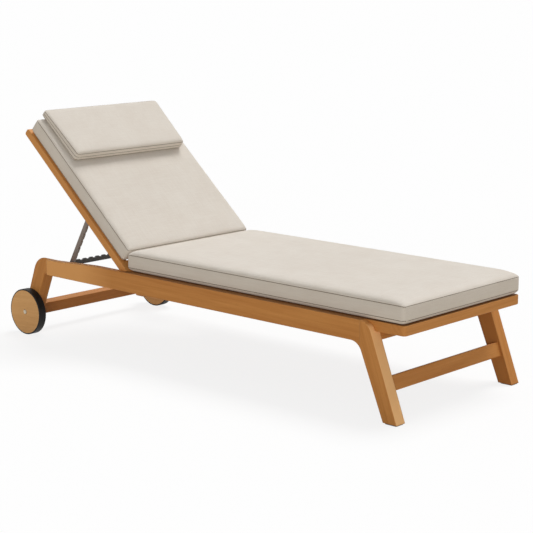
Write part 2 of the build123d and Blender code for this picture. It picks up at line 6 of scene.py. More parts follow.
import bmesh
import bpy
import json
from math import cos, hypot, radians, sin, sqrt, tanh, tau
from mathutils import Matrix, Vector
from mathutils.bvhtree import BVHTree


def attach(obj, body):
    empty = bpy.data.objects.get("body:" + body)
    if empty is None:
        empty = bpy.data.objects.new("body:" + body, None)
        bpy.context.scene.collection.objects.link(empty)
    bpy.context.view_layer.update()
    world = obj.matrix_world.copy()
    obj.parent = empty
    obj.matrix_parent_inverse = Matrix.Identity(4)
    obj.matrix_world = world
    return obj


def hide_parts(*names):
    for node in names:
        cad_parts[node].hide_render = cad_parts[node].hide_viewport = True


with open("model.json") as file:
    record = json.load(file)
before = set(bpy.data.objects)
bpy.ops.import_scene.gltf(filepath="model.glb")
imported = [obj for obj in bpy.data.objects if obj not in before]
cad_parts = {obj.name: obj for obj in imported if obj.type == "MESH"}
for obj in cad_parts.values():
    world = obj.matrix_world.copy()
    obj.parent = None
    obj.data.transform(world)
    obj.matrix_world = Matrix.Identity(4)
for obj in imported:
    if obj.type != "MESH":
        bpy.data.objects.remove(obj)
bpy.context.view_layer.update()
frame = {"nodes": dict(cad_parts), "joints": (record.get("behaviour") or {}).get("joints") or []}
nodes = frame["nodes"]
scene = bpy.context.scene

# Camera, fitted to the lounger's outlines in the photograph
CAMERA_PLACE = (3.815, -4.0585, 1.4554)
CAMERA_TURN = 42.604
CAMERA_DROP = 11.328
CAMERA_LENS = 103.09
CAMERA_SENSOR = 36
CAMERA_REACH = 300

# The backrest's hinge, and its angle in the photograph
HINGE = next(joint for joint in frame["joints"] if joint["name"] == "recline")["pos_m"]
BACK_ANGLE = 41.3

# Finishes, as colours seen in plain light, and the painted shade, shadow and highlight tones named below
WOOD_LIGHT = (212, 148, 80)
WOOD_DARK = (184, 118, 56)
WOOD_PORE = (140, 86, 40)
# Wear and painted highlight on the rounded edges
WOOD_WORN_HIGHLIGHT = (226, 172, 108)
# Paler tone towards the head end of the side rails and back stiles
WOOD_HEADWARD_PALE = (231, 168, 100)
# Painted sheen on the near foot leg's front faces
WOOD_PAINTED_SHEEN = (250, 196, 134)
# Painted shade on faces that lie in shade under the seat and the backrest
WOOD_PAINTED_SHADE = (152, 92, 38)
# Painted shadow on the top faces under and beside the seat cushion
WOOD_PAINTED_SHADOW = (92, 54, 26)
WHEEL_LIGHT = (232, 182, 122)
WHEEL_DARK = (212, 158, 98)
LINEN_LIGHT = (228, 221, 211)
LINEN_DARK = (217, 207, 195)
# Painted shadow: the welts are woven dark for the shade along the seams
SEAM_SHADOW_TONE = (140, 126, 108)
SEAM_SHADE = (116, 102, 86)
THREAD_COLOUR = (206, 194, 178)
RUBBER = (20, 17, 16)
RUBBER_DUST = (34, 30, 28)
ARM_GREY = (140, 128, 120)
ARM_SCUFF = (128, 119, 112)
BAR_GREY = (60, 62, 62)
BAR_SCUFF = (88, 90, 90)
STEEL = (236, 222, 194)
STEEL_SCUFF = (168, 162, 150)
NYLON = (205, 198, 182)
NYLON_SCUFF = (186, 178, 162)
GLIDE_BROWN = (52, 40, 32)
GLIDE_SCUFF = (74, 60, 50)


def linear(colour):
    """Scene-linear colour with alpha from a display colour out of 255."""
    channels = []
    for channel in colour:
        share = channel / 255
        channels.append(share / 12.92 if share <= 0.04045 else ((share + 0.055) / 1.055) ** 2.4)
    return (*channels, 1.0)


# Shared effects as node groups

# How far each pattern is squeezed along the three axes; the grain runs along X
BAND_STRETCH = (0.55, 11.0, 11.0)
RING_STRETCH = (0.5, 9.0, 9.0)
STREAK_STRETCH = (3.0, 160.0, 160.0)
PORE_STRETCH = (26.0, 620.0, 620.0)
SLUB_STRETCHES = ((18.0, 420.0, 420.0), (420.0, 18.0, 420.0))

# How much each pattern counts in a board's tone and in the linen's
BAND_SHARE = 0.5
RING_SHARE = 0.14
STREAK_SHARE = 0.32
PORE_SHARE = 0.34
SLUB_SHARE = 0.55
MOTTLE_SHARE = 0.35
WEAVE_SHARE = 0.1
THREAD_WIDTH = 0.0011


def new_group(name, inputs, outputs):
    """Empty shader group with named inputs and outputs."""
    group = bpy.data.node_groups.new(name, "ShaderNodeTree")
    for label, kind, value in inputs:
        socket = group.interface.new_socket(name=label, in_out="INPUT", socket_type=kind)
        if value is not None:
            socket.default_value = value
    for label, kind in outputs:
        group.interface.new_socket(name=label, in_out="OUTPUT", socket_type=kind)
    return group, group.nodes.new("NodeGroupInput"), group.nodes.new("NodeGroupOutput")


def join(tree, source, target):
    """Link one socket to another."""
    tree.links.new(source, target)


def math_node(tree, operation, first, second=None):
    """Result of a sum on sockets or numbers."""
    node = tree.nodes.new("ShaderNodeMath")
    node.operation = operation
    for index, value in enumerate((first, second)):
        if value is None:
            continue
        if isinstance(value, (int, float)):
            node.inputs[index].default_value = value
        else:
            join(tree, value, node.inputs[index])
    return node.outputs[0]


def stretched(tree, vector, scale):
    """Vector multiplied by a scale along each axis."""
    node = tree.nodes.new("ShaderNodeVectorMath")
    node.operation = "MULTIPLY"
    join(tree, vector, node.inputs[0])
    node.inputs[1].default_value = scale
    return node.outputs[0]


def scaled(tree, value, factor):
    """Value multiplied by a factor."""
    return math_node(tree, "MULTIPLY", value, factor)


def added(tree, first, second):
    """Sum of two values."""
    return math_node(tree, "ADD", first, second)


def noise_node(tree, vector, scale, detail, roughness, distortion=0.0):
    """Noise value along a vector."""
    node = tree.nodes.new("ShaderNodeTexNoise")
    node.inputs["Scale"].default_value = scale
    node.inputs["Detail"].default_value = detail
    node.inputs["Roughness"].default_value = roughness
    node.inputs["Distortion"].default_value = distortion
    join(tree, vector, node.inputs["Vector"])
    return node.outputs["Fac"]


def ranged(tree, value, low, high, out_low=0.0, out_high=1.0):
    """Value brought from one range to another and held there."""
    node = tree.nodes.new("ShaderNodeMapRange")
    join(tree, value, node.inputs["Value"])
    node.inputs["From Min"].default_value = low
    node.inputs["From Max"].default_value = high
    node.inputs["To Min"].default_value = out_low
    node.inputs["To Max"].default_value = out_high
    return node.outputs["Result"]


def mixed(tree, factor, first, second):
    """Colour between two colours; each may be a socket or a colour."""
    node = tree.nodes.new("ShaderNodeMix")
    node.data_type = "RGBA"
    for value, socket in ((factor, node.inputs[0]), (first, node.inputs[6]), (second, node.inputs[7])):
        if isinstance(value, tuple):
            socket.default_value = value
        else:
            join(tree, value, socket)
    return node.outputs[2]


def build_grain():
    """Wood grain running along X: growth bands, long streaks and short open pores."""
    group, given, out = new_group(
        "wood_grain",
        [
            ("Vector", "NodeSocketVector", None),
            ("Light", "NodeSocketColor", linear(WOOD_LIGHT)),
            ("Dark", "NodeSocketColor", linear(WOOD_DARK)),
            ("Pore", "NodeSocketColor", linear(WOOD_PORE)),
        ],
        [("Color", "NodeSocketColor"), ("Roughness", "NodeSocketFloat"), ("Height", "NodeSocketFloat")],
    )
    vector = given.outputs["Vector"]
    bands = noise_node(group, stretched(group, vector, BAND_STRETCH), 2.2, 4.0, 0.55, 0.6)
    rings = group.nodes.new("ShaderNodeTexWave")
    rings.wave_type = "BANDS"
    rings.bands_direction = "DIAGONAL"
    rings.inputs["Scale"].default_value = 3.4
    rings.inputs["Distortion"].default_value = 5.5
    rings.inputs["Detail"].default_value = 2.5
    rings.inputs["Detail Scale"].default_value = 0.7
    join(group, stretched(group, vector, RING_STRETCH), rings.inputs["Vector"])
    streaks = noise_node(group, stretched(group, vector, STREAK_STRETCH), 2.0, 3.0, 0.6)
    pores = noise_node(group, stretched(group, vector, PORE_STRETCH), 1.6, 2.0, 0.5)
    tone = scaled(group, ranged(group, bands, 0.32, 0.68), BAND_SHARE)
    tone = added(group, tone, scaled(group, rings.outputs["Fac"], RING_SHARE))
    tone = added(group, tone, scaled(group, ranged(group, streaks, 0.3, 0.7), STREAK_SHARE))
    body = mixed(group, tone, given.outputs["Light"], given.outputs["Dark"])
    open_pores = ranged(group, pores, 0.62, 0.74)
    pore_tone = scaled(group, open_pores, PORE_SHARE)
    join(group, mixed(group, pore_tone, body, given.outputs["Pore"]), out.inputs["Color"])
    join(group, ranged(group, streaks, 0.2, 0.8, 0.5, 0.66), out.inputs["Roughness"])
    height = math_node(group, "SUBTRACT", scaled(group, streaks, 0.5), open_pores)
    join(group, height, out.inputs["Height"])
    return group


def build_weave():
    """Plain weave on every face, with uneven threads and a soft mottle."""
    group, given, out = new_group(
        "linen_weave",
        [
            ("Vector", "NodeSocketVector", None),
            ("Light", "NodeSocketColor", linear(LINEN_LIGHT)),
            ("Dark", "NodeSocketColor", linear(LINEN_DARK)),
            ("Thread", "NodeSocketFloat", THREAD_WIDTH),
        ],
        [("Color", "NodeSocketColor"), ("Roughness", "NodeSocketFloat"), ("Height", "NodeSocketFloat")],
    )
    vector = given.outputs["Vector"]
    split = group.nodes.new("ShaderNodeSeparateXYZ")
    join(group, vector, split.inputs[0])
    waves = []
    for axis in range(3):
        turns = math_node(group, "DIVIDE", split.outputs[axis], given.outputs["Thread"])
        waves.append(math_node(group, "SINE", scaled(group, turns, tau / 2)))
    crossings = []
    for first, second in ((0, 1), (1, 2), (2, 0)):
        crossings.append(math_node(group, "MULTIPLY", waves[first], waves[second]))
    weave = added(group, added(group, crossings[0], crossings[1]), crossings[2])
    slubs = []
    for stretch in SLUB_STRETCHES:
        slubs.append(noise_node(group, stretched(group, vector, stretch), 1.0, 2.0, 0.5))
    slub = scaled(group, added(group, slubs[0], slubs[1]), 0.5)
    mottle = noise_node(group, vector, 9.0, 3.0, 0.55)
    tone = scaled(group, ranged(group, slub, 0.36, 0.64), SLUB_SHARE)
    tone = added(group, tone, scaled(group, ranged(group, mottle, 0.3, 0.7), MOTTLE_SHARE))
    tone = math_node(group, "SUBTRACT", tone, scaled(group, weave, WEAVE_SHARE))
    colour = mixed(group, tone, given.outputs["Light"], given.outputs["Dark"])
    join(group, colour, out.inputs["Color"])
    join(group, ranged(group, slub, 0.3, 0.7, 0.84, 0.96), out.inputs["Roughness"])
    join(group, added(group, weave, scaled(group, slub, 2.0)), out.inputs["Height"])
    return group


def build_wear():
    """Fine scuffs and dust on a plain finish."""
    group, given, out = new_group(
        "fine_scuffs",
        [
            ("Vector", "NodeSocketVector", None),
            ("Base", "NodeSocketColor", None),
            ("Scuff", "NodeSocketColor", None),
            ("Grit", "NodeSocketFloat", None),
        ],
        [("Color", "NodeSocketColor"), ("Roughness", "NodeSocketFloat"), ("Height", "NodeSocketFloat")],
    )
    vector = given.outputs["Vector"]
    broad = noise_node(group, vector, 34.0, 3.0, 0.6)
    fine = group.nodes.new("ShaderNodeTexNoise")
    join(group, vector, fine.inputs["Vector"])
    join(group, given.outputs["Grit"], fine.inputs["Scale"])
    fine.inputs["Detail"].default_value = 4.0
    both = added(group, scaled(group, broad, 0.6), scaled(group, fine.outputs["Fac"], 0.4))
    share = ranged(group, both, 0.38, 0.7)
    join(group, mixed(group, share, given.outputs["Base"], given.outputs["Scuff"]), out.inputs["Color"])
    join(group, ranged(group, both, 0.3, 0.7, 0.38, 0.62), out.inputs["Roughness"])
    join(group, fine.outputs["Fac"], out.inputs["Height"])
    return group


GRAIN = build_grain()
WEAVE = build_weave()
WEAR = build_wear()


def textured(name, group, values, turn=(0, 0, 0), shift=(0, 0, 0), bump=0.1, bump_depth=0.001):
    """Material whose colour, roughness and bump come from one of the shared groups."""
    material = bpy.data.materials.new(name)
    material.use_nodes = True
    tree = material.node_tree
    shader = tree.nodes["Principled BSDF"]
    place = tree.nodes.new("ShaderNodeTexCoord")
    mapping = tree.nodes.new("ShaderNodeMapping")
    mapping.inputs["Rotation"].default_value = [radians(angle) for angle in turn]
    mapping.inputs["Location"].default_value = shift
    join(tree, place.outputs["Object"], mapping.inputs["Vector"])
    pattern = tree.nodes.new("ShaderNodeGroup")
    pattern.node_tree = group
    join(tree, mapping.outputs["Vector"], pattern.inputs["Vector"])
    for label, value in values.items():
        pattern.inputs[label].default_value = value
    join(tree, pattern.outputs["Color"], shader.inputs["Base Color"])
    join(tree, pattern.outputs["Roughness"], shader.inputs["Roughness"])
    relief = tree.nodes.new("ShaderNodeBump")
    relief.inputs["Strength"].default_value = bump
    relief.inputs["Distance"].default_value = bump_depth
    join(tree, pattern.outputs["Height"], relief.inputs["Height"])
    join(tree, relief.outputs["Normal"], shader.inputs["Normal"])
    return material


def plain_finish(name, base, scuff, grit, bump=0.05):
    """Rubber, lacquer, metal or plastic with fine scuffs."""
    return textured(name, WEAR, {"Base": linear(base), "Scuff": linear(scuff), "Grit": grit}, bump=bump)


def set_shader(material, label, value):
    """Set a number on a material's own shader."""
    material.node_tree.nodes["Principled BSDF"].inputs[label].default_value = value


# Wear and painted highlight: edges are lightened where the rounded normal leaves the face's own
EDGE_SAMPLES = 6
EDGE_START = 0.995
EDGE_FULL = 0.8
EDGE_WEAR_HIGHLIGHT = 0.3

# A face counts as looking in a direction between these cosines
FACING_START = 0.8
FACING_FULL = 0.96


def soften_edges(material, radius, worn_highlight):
    """Round the edges in the shading and lighten the wood along them, as wear and as a painted highlight
    where they catch the light.
    """
    tree = material.node_tree
    shader = tree.nodes["Principled BSDF"]
    relief = next(node for node in tree.nodes if node.bl_idname == "ShaderNodeBump")
    rounded = tree.nodes.new("ShaderNodeBevel")
    rounded.samples = EDGE_SAMPLES
    rounded.inputs["Radius"].default_value = radius
    join(tree, rounded.outputs["Normal"], relief.inputs["Normal"])
    flat = tree.nodes.new("ShaderNodeNewGeometry")
    closeness = tree.nodes.new("ShaderNodeVectorMath")
    closeness.operation = "DOT_PRODUCT"
    join(tree, rounded.outputs["Normal"], closeness.inputs[0])
    join(tree, flat.outputs["Normal"], closeness.inputs[1])
    edge_share = ranged(tree, closeness.outputs["Value"], EDGE_START, EDGE_FULL, 0.0, EDGE_WEAR_HIGHLIGHT)
    colour = shader.inputs["Base Color"].links[0].from_socket
    join(tree, mixed(tree, edge_share, colour, worn_highlight), shader.inputs["Base Color"])


def blend(material, share, tone):
    """Mix another tone into a board by a share that changes over its surface."""
    tree = material.node_tree
    shader = tree.nodes["Principled BSDF"]
    colour = shader.inputs["Base Color"].links[0].from_socket
    join(tree, mixed(tree, share, colour, linear(tone)), shader.inputs["Base Color"])


def share_along(material, start_x, end_x, most):
    """Share that grows from nothing at one place along the lounger to its most at another."""
    tree = material.node_tree
    place = tree.nodes.new("ShaderNodeTexCoord")
    split = tree.nodes.new("ShaderNodeSeparateXYZ")
    join(tree, place.outputs["Object"], split.inputs[0])
    return ranged(tree, split.outputs[0], start_x, end_x, 0.0, most)


def share_facing(material, direction, most):
    """Share that is full on the faces that look in a direction."""
    tree = material.node_tree
    face = tree.nodes.new("ShaderNodeNewGeometry")
    closeness = tree.nodes.new("ShaderNodeVectorMath")
    closeness.operation = "DOT_PRODUCT"
    join(tree, face.outputs["Normal"], closeness.inputs[0])
    closeness.inputs[1].default_value = direction
    return ranged(tree, closeness.outputs["Value"], FACING_START, FACING_FULL, 0.0, most)


def paint(node_name, material):
    """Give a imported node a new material."""
    for material_slot in nodes[node_name].material_slots:
        material_slot.material = material


# Wood: each board with its own stretch of grain, turned to run along it
ALONG = (0, 0, 0)
ACROSS = (0, 0, 90)
FOOT_LEG_TURN = (0, -69.2, 0)
REAR_LEG_TURN = (0, 69.2, 0)
BACK_TURN = (0, -BACK_ANGLE, 0)
BOARD_STEP = 0.37
BOARD_EDGE = 0.0022
FRAME_EDGE = 0.005
WOOD_GLOSS = 0.25
WOOD_BUMP = 0.18
WOOD_BUMP_DEPTH = 0.0006
DISC_TURN = (0, 6, 0)
DISC_BUMP = 0.15
DISC_BUMP_DEPTH = 0.0005
WOOD_COLOURS = {"Light": linear(WOOD_LIGHT), "Dark": linear(WOOD_DARK), "Pore": linear(WOOD_PORE)}
DISC_COLOURS = {"Light": linear(WHEEL_LIGHT), "Dark": linear(WHEEL_DARK), "Pore": linear(WOOD_PORE)}

# Tones that change over a board, painted shade, painted shadow and painted sheen among them: where along X
# they start and are full, or which way the face looks
RAIL_PALE_START = -0.38
RAIL_PALE_FULL = -0.56
RAIL_PALE_SHARE = 0.95
STILE_PALE_START = -0.32
STILE_PALE_FULL = -0.33
STILE_PALE_SHARE = 0.3
SEAT_HEAD_START = -0.36
SEAT_HEAD_FULL = -0.32
RAIL_SHADOW_SHARE = 0.55
DECK_SHADOW_SHARE = 0.6
LEG_SHEEN_SHARE = 1.0
LEG_SHADE_SHARE = 0.6
STRETCHER_SHADE_SHARE = 0.65
LEG_FRONT = (0.935, 0.0, 0.355)
NEAR_SIDE = (0.0, -1.0, 0.0)
UPWARDS = (0.0, 0.0, 1.0)
FOOTWARDS = (1.0, 0.0, 0.0)


def tone_board(name, board):
    """Paler wood towards the head end, and painted shade, painted shadow and a painted sheen on the boards
    where the light falls so.
    """
    if name.startswith("side_rail"):
        # Paler tone towards the head end of the rail
        blend(board, share_along(board, RAIL_PALE_START, RAIL_PALE_FULL, RAIL_PALE_SHARE), WOOD_HEADWARD_PALE)
        # Painted shadow of the seat cushion on the rail's top faces beside the seat
        on_top = share_facing(board, UPWARDS, RAIL_SHADOW_SHARE)
        beside_seat = share_along(board, SEAT_HEAD_START, SEAT_HEAD_FULL, 1.0)
        blend(board, math_node(board.node_tree, "MULTIPLY", on_top, beside_seat), WOOD_PAINTED_SHADOW)
    elif name.startswith(("deck_stile", "deck_foot_rail", "foot_apron")):
        # Painted shade on the top faces of the deck pieces under the cushion
        blend(board, share_facing(board, UPWARDS, DECK_SHADOW_SHARE), WOOD_PAINTED_SHADOW)
    elif name.startswith("back_stile"):
        # Paler tone towards the head end of the stile
        blend(board, share_along(board, STILE_PALE_START, STILE_PALE_FULL, STILE_PALE_SHARE), WOOD_HEADWARD_PALE)
    elif name == "foot_leg_near":
        # Painted sheen on the leg's front faces
        blend(board, share_facing(board, LEG_FRONT, LEG_SHEEN_SHARE), WOOD_PAINTED_SHEEN)
    elif name == "foot_leg_far":
        # Painted shade on the far leg's inner face, under the seat
        blend(board, share_facing(board, NEAR_SIDE, LEG_SHADE_SHARE), WOOD_PAINTED_SHADE)
    elif name == "rear_stretcher":
        # Painted shade on the stretcher's foot-facing face, under the backrest
        blend(board, share_facing(board, FOOTWARDS, STRETCHER_SHADE_SHARE), WOOD_PAINTED_SHADE)


boards = {}
for side in ("near", "far"):
    boards[f"side_rail_{side}"] = ALONG
    boards[f"foot_leg_{side}"] = FOOT_LEG_TURN
    boards[f"rear_leg_{side}"] = REAR_LEG_TURN
    boards[f"deck_stile_{side}"] = ALONG
    boards[f"back_stile_{side}"] = BACK_TURN
    boards[f"rack_block_{side}"] = ALONG
boards["leg_dowels"] = ALONG
for name in ("foot_stretcher", "rear_stretcher", "foot_apron", "deck_foot_rail", "deck_head_rail"):
    boards[name] = ACROSS
for name in nodes:
    if name.startswith(("back_slat", "seat_slat", "back_top", "back_bottom")):
        boards[name] = ACROSS

for index, (name, turn) in enumerate(sorted(boards.items())):
    shift = (index * BOARD_STEP, index * BOARD_STEP / 2, index * BOARD_STEP / 3)
    board = textured(f"oiled_wood_{name}", GRAIN, WOOD_COLOURS, turn, shift, WOOD_BUMP, WOOD_BUMP_DEPTH)
    set_shader(board, "Specular IOR Level", WOOD_GLOSS)
    in_side_frame = name.startswith(("side_rail", "foot_leg", "rear_leg"))
    soften_edges(board, FRAME_EDGE if in_side_frame else BOARD_EDGE, linear(WOOD_WORN_HIGHLIGHT))
    tone_board(name, board)
    paint(name, board)

for index, side in enumerate(("near", "far")):
    shift = (index, index, index)
    disc = textured(f"wheel_wood_{side}", GRAIN, DISC_COLOURS, DISC_TURN, shift, DISC_BUMP, DISC_BUMP_DEPTH)
    set_shader(disc, "Specular IOR Level", WOOD_GLOSS)
    # The disc's edges get the same wear and painted highlight, in its light grain tone
    soften_edges(disc, BOARD_EDGE / 2, linear(WHEEL_LIGHT))
    paint(f"wheel_disc_{side}", disc)

# Rubber, metal and plastic
rubber = plain_finish("tyre_rubber", RUBBER, RUBBER_DUST, 900.0, 0.12)
set_shader(rubber, "Specular IOR Level", 0.2)
arm_metal = plain_finish("arm_lacquer", ARM_GREY, ARM_SCUFF, 600.0)
bar_metal = plain_finish("bar_lacquer", BAR_GREY, BAR_SCUFF, 600.0)
steel = plain_finish("axle_steel", STEEL, STEEL_SCUFF, 500.0)
set_shader(steel, "Metallic", 0.3)
nylon = plain_finish("bush_nylon", NYLON, NYLON_SCUFF, 500.0)
glide = plain_finish("glide_plastic", GLIDE_BROWN, GLIDE_SCUFF, 700.0, 0.1)
for side in ("near", "far"):
    paint(f"tyre_{side}", rubber)
    paint(f"prop_arm_{side}", arm_metal)
    paint(f"rack_{side}", bar_metal)
    paint(f"axle_{side}", steel)
    paint(f"wheel_bush_{side}", nylon)
for name in ("grip_bar", "prop_bosses", "prop_end_pins"):
    paint(name, bar_metal)
for name in ("hinge_pins", "prop_pins"):
    paint(name, steel)
paint("hinge_bushes", nylon)
paint("foot_glides", glide)

# Linen and sewing
LINEN_BUMP = 0.35
LINEN_BUMP_DEPTH = 0.0004
SEAM_BUMP = 0.2
SEAM_SHADOW_COLOURS = {"Light": linear(SEAM_SHADOW_TONE), "Dark": linear(SEAM_SHADE)}
THREAD_COLOURS = {"Light": linear(THREAD_COLOUR), "Dark": linear(LINEN_DARK)}
linen_flat = textured("linen_seat", WEAVE, {}, bump=LINEN_BUMP, bump_depth=LINEN_BUMP_DEPTH)
linen_raised = textured("linen_back", WEAVE, {}, BACK_TURN, bump=LINEN_BUMP, bump_depth=LINEN_BUMP_DEPTH)
# Welts in a dark weave, as painted shadow along the seams
seam_welt_shadow = textured("seam_welt_shadow", WEAVE, SEAM_SHADOW_COLOURS, bump=SEAM_BUMP)
sewing_thread = textured("sewing_thread", WEAVE, THREAD_COLOURS, bump=SEAM_BUMP)
for cloth in (linen_flat, linen_raised, seam_welt_shadow, sewing_thread):
    set_shader(cloth, "Sheen Weight", 0.15)
    set_shader(cloth, "Sheen Roughness", 0.5)
    set_shader(cloth, "Specular IOR Level", 0.2)

# Padded pieces
CUSHION_CORNER = 0.009
CUSHION_VOXEL = 0.009
PILLOW_CORNER = 0.012
PILLOW_VOXEL = 0.007
CORNER_STEPS = 6

# How far in from the ends and from the sides each top keeps rising
SEAT_SHOULDERS = (0.085, 0.036)
BACK_SHOULDERS = (0.05, 0.036)
PILLOW_SHOULDERS = (0.035, 0.03)
REST_WIDTH = 0.025
SIDE_BULGE = 0.002

# Share of the top's height that comes from the blown-up cloth
FILLING_SHARE = 0.15

# The cloth: vertices this many voxels from a seam are held while the filling presses
SEAM_REACH = 0.75
EDGE_REACH = 1.2
CLOTH_QUALITY = 4
CLOTH_MASS = 0.25
CLOTH_STIFFNESS = 12
CLOTH_BENDING = 0.6
CLOTH_PRESSURE = 4
CLOTH_FRAMES = 20

# Welts lie along the seams, woven dark as a painted shadow of the seam, with a row of stitches beside each
SEAM_INSET = 0.001
SEAM_RISE = 0.005
SEAM_RADIUS = 0.0013
SEAM_SINK = 0.0006
WELT_STEP = 0.012
STITCH_DROP = 0.0045
STITCH_STEP = 0.0056
STITCH_LENGTH = 0.0042
STITCH_RADIUS = 0.00045


def back_matrix():
    """Turns a piece drawn flat, with X up the backrest and Z out of it, to its place."""
    turn = radians(BACK_ANGLE)
    up = Vector((-cos(turn), 0, sin(turn)))
    out = Vector((sin(turn), 0, cos(turn)))
    side = out.cross(up)
    matrix = Matrix((up, side, out)).transposed().to_4x4()
    matrix.translation = Vector(HINGE)
    return matrix


def new_object(name, mesh):
    """Object for a finished mesh, linked to the scene."""
    piece = bpy.data.objects.new(name, mesh)
    scene.collection.objects.link(piece)
    return piece


def box_mesh(name, low, high, corner):
    """Closed box between two corners, with its upright edges rounded."""
    bm = bmesh.new()
    bmesh.ops.create_cube(bm, size=1.0)
    size = Vector(high) - Vector(low)
    middle = (Vector(high) + Vector(low)) / 2
    bmesh.ops.scale(bm, vec=size, verts=bm.verts)
    bmesh.ops.translate(bm, vec=middle, verts=bm.verts)
    upright = [edge for edge in bm.edges if abs(edge.verts[0].co.z - edge.verts[1].co.z) > size.z / 2]
    bmesh.ops.bevel(
        bm, geom=upright, offset=corner, segments=CORNER_STEPS, profile=0.5, affect="EDGES", material=-1
    )
    mesh = bpy.data.meshes.new(name)
    bm.to_mesh(mesh)
    bm.free()
    return mesh


def evaluated_mesh(piece):
    """Mesh of a piece with its modifiers applied."""
    scene_graph = bpy.context.evaluated_depsgraph_get()
    return bpy.data.meshes.new_from_object(piece.evaluated_get(scene_graph))


def settle(piece):
    """Replace a piece's mesh by the evaluated one and drop its modifiers."""
    mesh = evaluated_mesh(piece)
    piece.modifiers.clear()
    piece.data = mesh


def soft_limit(value, limit):
    """Value that grows towards a limit and never passes it."""
    return limit * tanh(value / limit)


def distance_in(place, low, high, corner):
    """Distance of a point from a pad's outline in plan, whose corners are round."""
    inner_x = min(place.x - low[0], high[0] - place.x)
    inner_y = min(place.y - low[1], high[1] - place.y)
    if inner_x > corner or inner_y > corner:
        return min(inner_x, inner_y)
    return corner - hypot(corner - inner_x, corner - inner_y)


def swell_share(place, low, high, end_width, side_width):
    """Share of the full swelling at a point, rising from the ends and the sides as quarter ellipses."""
    share = 1
    for inset, width in (
        (min(place.x - low[0], high[0] - place.x), end_width),
        (min(place.y - low[1], high[1] - place.y), side_width),
    ):
        left = 1 - min(max(inset, 0) / width, 1)
        share *= sqrt(1 - left * left)
    return share


def hold_seams(piece, low, high, corner, voxel):
    """Vertex group of the rows that lie along a pad's two seams."""
    reach = voxel * SEAM_REACH
    held = []
    for vertex in piece.data.vertices:
        near_seam = min(vertex.co.z - low[2], high[2] - vertex.co.z) < reach
        if near_seam and distance_in(vertex.co, low, high, corner) < reach * EDGE_REACH:
            held.append(vertex.index)
    piece.vertex_groups.new(name="seams").add(held, 1.0, "REPLACE")


def fill_with_padding(piece):
    """Blow a pad up as cloth that is held at its seams."""
    cloth = piece.modifiers.new("filling", "CLOTH")
    cloth.settings.quality = CLOTH_QUALITY
    cloth.settings.mass = CLOTH_MASS
    cloth.settings.tension_stiffness = CLOTH_STIFFNESS
    cloth.settings.compression_stiffness = CLOTH_STIFFNESS
    cloth.settings.bending_stiffness = CLOTH_BENDING
    cloth.settings.use_pressure = True
    cloth.settings.uniform_pressure_force = CLOTH_PRESSURE
    cloth.settings.effector_weights.gravity = 0
    cloth.settings.vertex_group_mass = "seams"
    for step in range(1, CLOTH_FRAMES + 1):
        scene.frame_set(step)
    settle(piece)
    scene.frame_set(1)


def swollen_pad(name, low, high, corner, voxel, rise, sag, shoulders):
    """Stuffed cover: a box held at its two seams and blown up as cloth, with its growth limited."""
    piece = new_object(name, box_mesh(name, low, high, corner))
    remesh = piece.modifiers.new("even_mesh", "REMESH")
    remesh.mode = "VOXEL"
    remesh.voxel_size = voxel
    settle(piece)
    start = [vertex.co.copy() for vertex in piece.data.vertices]
    hold_seams(piece, low, high, corner, voxel)
    fill_with_padding(piece)
    middle_z = (low[2] + high[2]) / 2
    for vertex, before in zip(piece.data.vertices, start):
        moved = vertex.co - before
        if before.z > middle_z:
            filled = 1 - FILLING_SHARE + FILLING_SHARE * tanh(moved.z / rise)
            moved.z = rise * swell_share(before, low, high, *shoulders) * filled
        else:
            moved.z = -sag * swell_share(before, low, high, REST_WIDTH, REST_WIDTH)
        moved.x = soft_limit(moved.x, SIDE_BULGE)
        moved.y = soft_limit(moved.y, SIDE_BULGE)
        vertex.co = before + moved
    refine = piece.modifiers.new("smooth", "SUBSURF")
    refine.levels = 1
    refine.render_levels = 1
    settle(piece)
    for polygon in piece.data.polygons:
        polygon.use_smooth = True
    return piece


def rounded_loop(low, high, corner, height, step):
    """Points round a pad's plan at one height, evenly spaced."""
    points = []
    centres = [
        (high[0] - corner, high[1] - corner, 0.0),
        (low[0] + corner, high[1] - corner, 0.25),
        (low[0] + corner, low[1] + corner, 0.5),
        (high[0] - corner, low[1] + corner, 0.75),
    ]
    for index, (x, y, turn) in enumerate(centres):
        for arc_index in range(CORNER_STEPS + 1):
            angle = tau * (turn + 0.25 * arc_index / CORNER_STEPS)
            points.append(Vector((x + corner * cos(angle), y + corner * sin(angle), height)))
        next_x, next_y, next_turn = centres[(index + 1) % len(centres)]
        angle = tau * next_turn
        start = points[-1]
        end = Vector((next_x + corner * cos(angle), next_y + corner * sin(angle), height))
        pieces = max(2, int((end - start).length / step))
        for piece_index in range(1, pieces):
            points.append(start.lerp(end, piece_index / pieces))
    return points


def surface_tree(pad):
    """Search tree of a pad's surface."""
    places = [vertex.co for vertex in pad.data.vertices]
    return BVHTree.FromPolygons(places, [polygon.vertices for polygon in pad.data.polygons])


def seam_line(name, pad, loop):
    """Thin welt laid on a pad's surface along a loop of points."""
    tree = surface_tree(pad)
    curve = bpy.data.curves.new(name, "CURVE")
    curve.dimensions = "3D"
    curve.bevel_depth = SEAM_RADIUS
    curve.bevel_resolution = 1
    spline = curve.splines.new("POLY")
    spline.points.add(len(loop) - 1)
    for point, place in zip(spline.points, loop):
        hit, normal, _, _ = tree.find_nearest(place)
        point.co = (*(hit - normal * SEAM_SINK), 1.0)
    spline.use_cyclic_u = True
    drawn = bpy.data.objects.new(name, curve)
    scene.collection.objects.link(drawn)
    bpy.context.view_layer.update()
    mesh = evaluated_mesh(drawn)
    bpy.data.objects.remove(drawn)
    for polygon in mesh.polygons:
        polygon.use_smooth = True
    return new_object(name, mesh)


